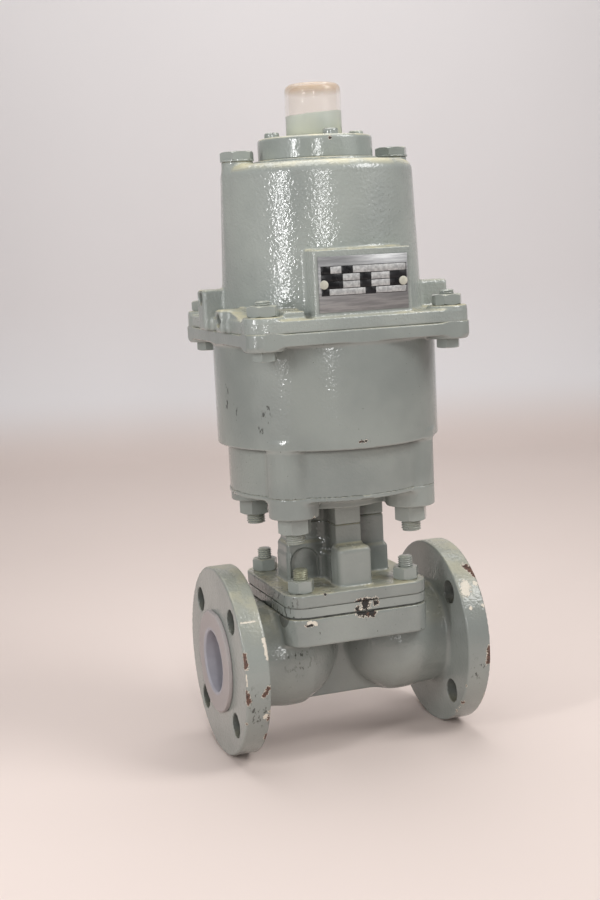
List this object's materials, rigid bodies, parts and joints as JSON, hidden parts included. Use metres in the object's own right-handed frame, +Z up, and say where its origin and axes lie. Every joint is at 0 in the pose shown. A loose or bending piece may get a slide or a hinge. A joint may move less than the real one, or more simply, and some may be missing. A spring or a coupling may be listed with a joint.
{
  "type": "diaphragm valve",
  "caption": "Flanged weir-type diaphragm valve with a lined body and a spring-return piston actuator above a clear indicator window.",
  "frame": {"origin": "centre of the valve, where the stem axis meets the pipe axis", "axes": "+X along the pipe to the outlet, +Z up the stem axis, -Y towards the nameplate"},
  "size_m": [0.218, 0.184, 0.538],
  "materials": {
    "paint": "gloss grey-green paint over cast metal",
    "painted_fastener": "steel fastener under the same grey-green paint",
    "lining": "fluoropolymer lining, lilac white",
    "ptfe": "smooth PTFE sheet",
    "rubber": "black moulded rubber",
    "bronze": "machined bronze",
    "steel": "machined steel",
    "spring_steel": "coated spring steel",
    "aluminium": "machined aluminium",
    "nameplate": "etched aluminium plate with black fields",
    "clear_cover": "clear plastic, painted over its lower half",
    "indicator": "red indicator rod"
  },
  "bodies": {
    "housing": {"valve_body": "paint", "body_lining": "lining", "diaphragm_facing": "ptfe", "diaphragm_cushion": "rubber", "bonnet": "paint", "stem_bush": "bronze", "actuator_base": "paint", "stem_seal": "rubber", "base_seal": "rubber", "cylinder": "paint", "spring_case": "paint", "spring": "spring_steel", "top_cover": "paint", "indicator_dome": "clear_cover", "nameplate": "nameplate", "bonnet_stud_1": "painted_fastener", "bonnet_stud_2": "painted_fastener", "bonnet_stud_3": "painted_fastener", "bonnet_stud_4": "painted_fastener", "bonnet_nut_1": "painted_fastener", "bonnet_nut_2": "painted_fastener", "bonnet_nut_3": "painted_fastener", "bonnet_nut_4": "painted_fastener", "yoke_stud_1": "painted_fastener", "yoke_stud_2": "painted_fastener", "yoke_stud_3": "painted_fastener", "yoke_stud_4": "painted_fastener", "yoke_nut_1": "painted_fastener", "yoke_nut_2": "painted_fastener", "yoke_nut_3": "painted_fastener", "yoke_nut_4": "painted_fastener", "case_bolt_1": "painted_fastener", "case_bolt_2": "painted_fastener", "case_bolt_3": "painted_fastener", "case_bolt_4": "painted_fastener", "case_nut_1": "painted_fastener", "case_nut_2": "painted_fastener", "case_nut_3": "painted_fastener", "case_nut_4": "painted_fastener", "cover_screw_1": "painted_fastener", "cover_screw_2": "painted_fastener", "cover_screw_3": "painted_fastener", "cover_screw_4": "painted_fastener", "base_screw_1": "steel", "base_screw_2": "steel", "base_screw_3": "steel", "base_screw_4": "steel", "top_plug_left": "painted_fastener", "top_plug_right": "painted_fastener", "nameplate_rivet_left": "aluminium", "nameplate_rivet_right": "aluminium"},
    "plunger": {"compressor": "steel", "stem": "steel", "piston": "aluminium", "piston_seal": "rubber", "piston_nut": "steel", "indicator_rod": "indicator"}
  },
  "joints": [
    {"name": "stem_travel", "type": "slide", "parent": "housing", "child": "plunger", "axis": [0, 0, 1], "range_m": [0, 0.022], "stiffness_N_per_m": 2000, "springref_m": -0.01, "deforming": ["diaphragm_facing", "diaphragm_cushion", "spring"]}
  ]
}
